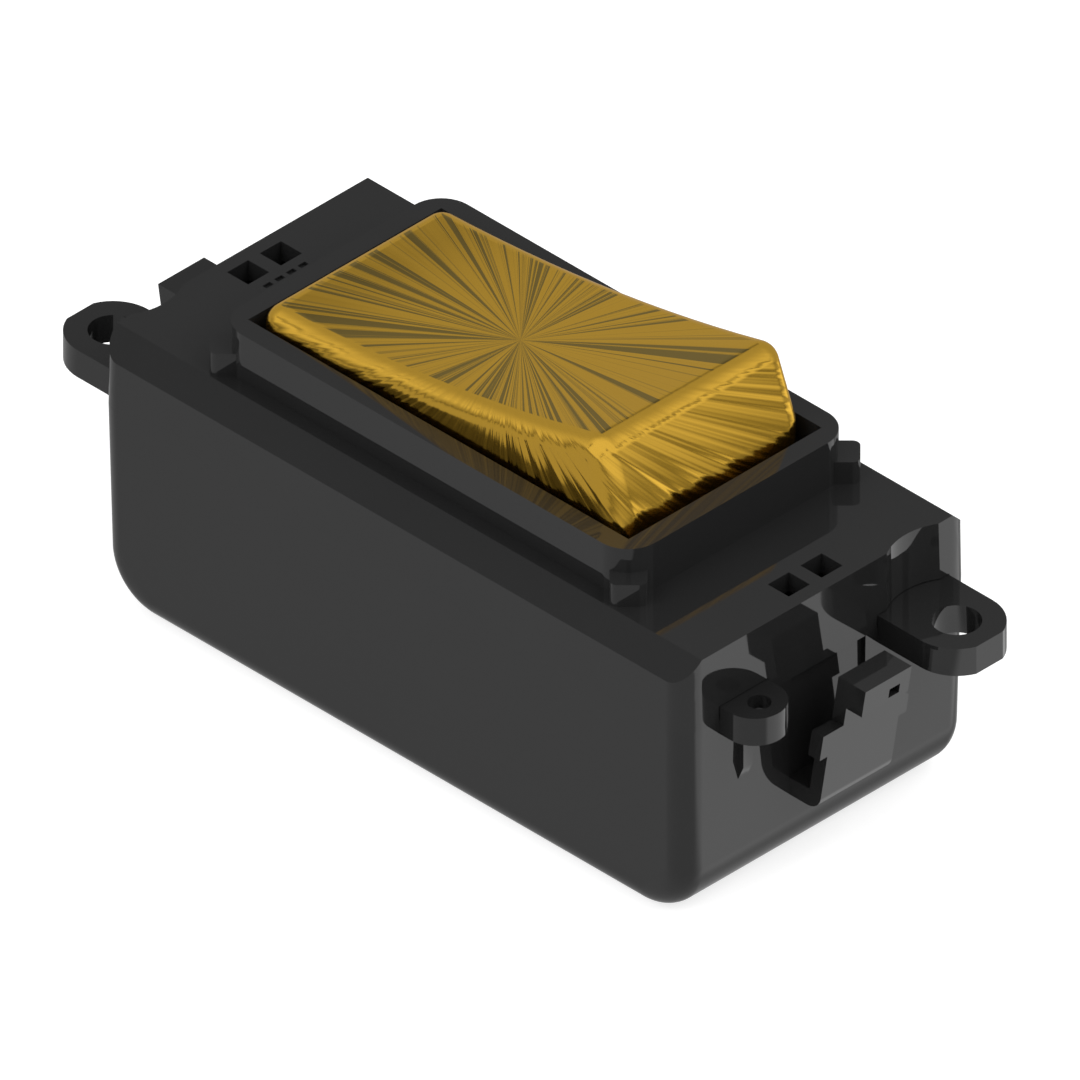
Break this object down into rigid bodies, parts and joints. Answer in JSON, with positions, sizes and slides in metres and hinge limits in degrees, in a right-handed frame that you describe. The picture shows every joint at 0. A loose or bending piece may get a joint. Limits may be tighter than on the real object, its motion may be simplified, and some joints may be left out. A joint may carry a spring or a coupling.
{
  "type": "wireless wall light switch",
  "caption": "Grid-mount wall switch module with a dished rocker in a raised bezel, screw ears and snap hooks at both ends, and an energy-harvesting generator inside.",
  "frame": {"origin": "middle of the flat back of the rear housing", "axes": "+Z out of the wall through the rocker, +X along the module towards the rocker end that stands out at rest, +Y across it"},
  "size_m": [0.0632, 0.0246, 0.028],
  "materials": {
    "case_plastic": "polished black moulding",
    "cover_plastic": "polished black moulding",
    "gold": "gold plating brushed in rays from the middle",
    "carrier_plastic": "satin moulding",
    "pin_steel": "ground steel pin",
    "frame_plastic": "natural bearing plastic",
    "magnet_nickel": "nickel-plated magnet",
    "pole_iron": "stamped soft iron, zinc plated",
    "core_iron": "laminated soft iron",
    "bobbin_plastic": "glass-filled moulding",
    "coil_copper": "varnished copper wire",
    "terminal_tin": "tinned wire",
    "base_plastic": "natural moulding",
    "screw_steel": "zinc-plated screw",
    "board_laminate": "green solder mask",
    "chip_resin": "moulded resin",
    "can_metal": "drawn metal can",
    "ferrite": "sintered ferrite",
    "antenna_copper": "bare copper wire"
  },
  "bodies": {
    "housing": {"rear_housing": "case_plastic", "front_cover": "cover_plastic", "left_core_leg": "core_iron", "right_core_leg": "core_iron", "coil_bobbin": "bobbin_plastic", "coil_winding": "coil_copper", "coil_terminals": "terminal_tin", "generator_base": "base_plastic", "base_screws": "screw_steel", "circuit_board": "board_laminate", "transmitter_chip": "chip_resin", "crystal": "can_metal", "rectifier": "chip_resin", "choke": "ferrite", "storage_capacitor": "can_metal", "antenna_wire": "antenna_copper"},
    "rocker": {"rocker_cap": "gold", "rocker_carrier": "carrier_plastic", "pivot_pin": "pin_steel"},
    "armature": {"armature_frame": "frame_plastic", "armature_magnet": "magnet_nickel", "upper_pole_plate": "pole_iron", "lower_pole_plate": "pole_iron"}
  },
  "joints": [
    {"name": "rocker_tilt", "type": "hinge", "parent": "housing", "child": "rocker", "pos_m": [0, 0, 0.0176], "axis": [0, 1, 0], "range_deg": [0, 17]},
    {"name": "armature_swing", "type": "hinge", "parent": "housing", "child": "armature", "pos_m": [0, -0.004, 0.0106], "axis": [0, 1, 0], "range_deg": [-12.76, 0]}
  ],
  "couplings": [
    {"joint": "armature_swing", "follows": "rocker_tilt", "ratio": -0.75}
  ]
}
